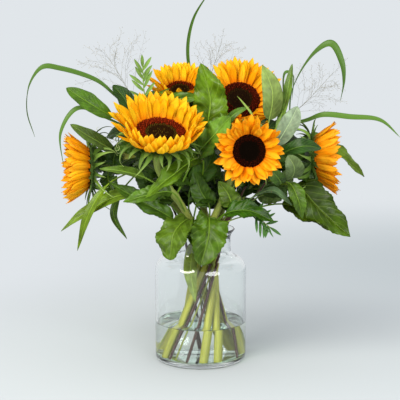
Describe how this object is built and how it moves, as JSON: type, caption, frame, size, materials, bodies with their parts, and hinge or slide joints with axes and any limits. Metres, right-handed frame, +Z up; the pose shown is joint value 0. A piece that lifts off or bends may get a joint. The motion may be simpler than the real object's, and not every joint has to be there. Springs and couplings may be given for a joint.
{
  "type": "sunflowers in a vase",
  "caption": "Loose hand-tied bouquet of sunflowers, leafy twigs and switch grass, standing in water in a clear glass vase.",
  "frame": {"origin": "centre of the vase's foot, on the surface that it stands on", "axes": "+Z up, -Y towards the viewer of the bouquet's front, +X to that viewer's right"},
  "size_m": [0.5975, 0.3317, 0.606],
  "materials": {
    "clear_glass": "clear thin glass with a faint green tint",
    "clear_water": "clear water, faintly green",
    "sunflower_green": "fresh, softly hairy green stem and leaf",
    "petal_gold": "satin golden-yellow petal, orange at the root",
    "seed_disc": "matt dark red-brown florets round a near-black centre",
    "twig_leaf": "smooth green leaf on a brown-purple twig",
    "grass_leaf": "satin green grass blade",
    "panicle_hair": "pale grey-tan dry hair with tiny dark seeds",
    "spray_leaf": "fine dark green compound leaf"
  },
  "bodies": {
    "root": {"glass_vase": "clear_glass", "water": "clear_water", "sunflower_front_left_stem": "sunflower_green", "sunflower_front_left_petals": "petal_gold", "sunflower_front_left_disc": "seed_disc", "sunflower_front_right_stem": "sunflower_green", "sunflower_front_right_petals": "petal_gold", "sunflower_front_right_disc": "seed_disc", "sunflower_top_right_stem": "sunflower_green", "sunflower_top_right_petals": "petal_gold", "sunflower_top_right_disc": "seed_disc", "sunflower_top_left_stem": "sunflower_green", "sunflower_top_left_petals": "petal_gold", "sunflower_top_left_disc": "seed_disc", "sunflower_left_stem": "sunflower_green", "sunflower_left_petals": "petal_gold", "sunflower_left_disc": "seed_disc", "sunflower_right_stem": "sunflower_green", "sunflower_right_petals": "petal_gold", "sunflower_right_disc": "seed_disc", "twig_left": "twig_leaf", "twig_upper_right": "twig_leaf", "twig_lower_right": "twig_leaf", "twig_back": "twig_leaf", "grass_left": "grass_leaf", "panicle_left": "panicle_hair", "grass_middle": "grass_leaf", "panicle_middle": "panicle_hair", "grass_right": "grass_leaf", "panicle_right": "panicle_hair", "spray_lower_right": "spray_leaf", "spray_upper_left": "spray_leaf"}
  },
  "joints": []
}
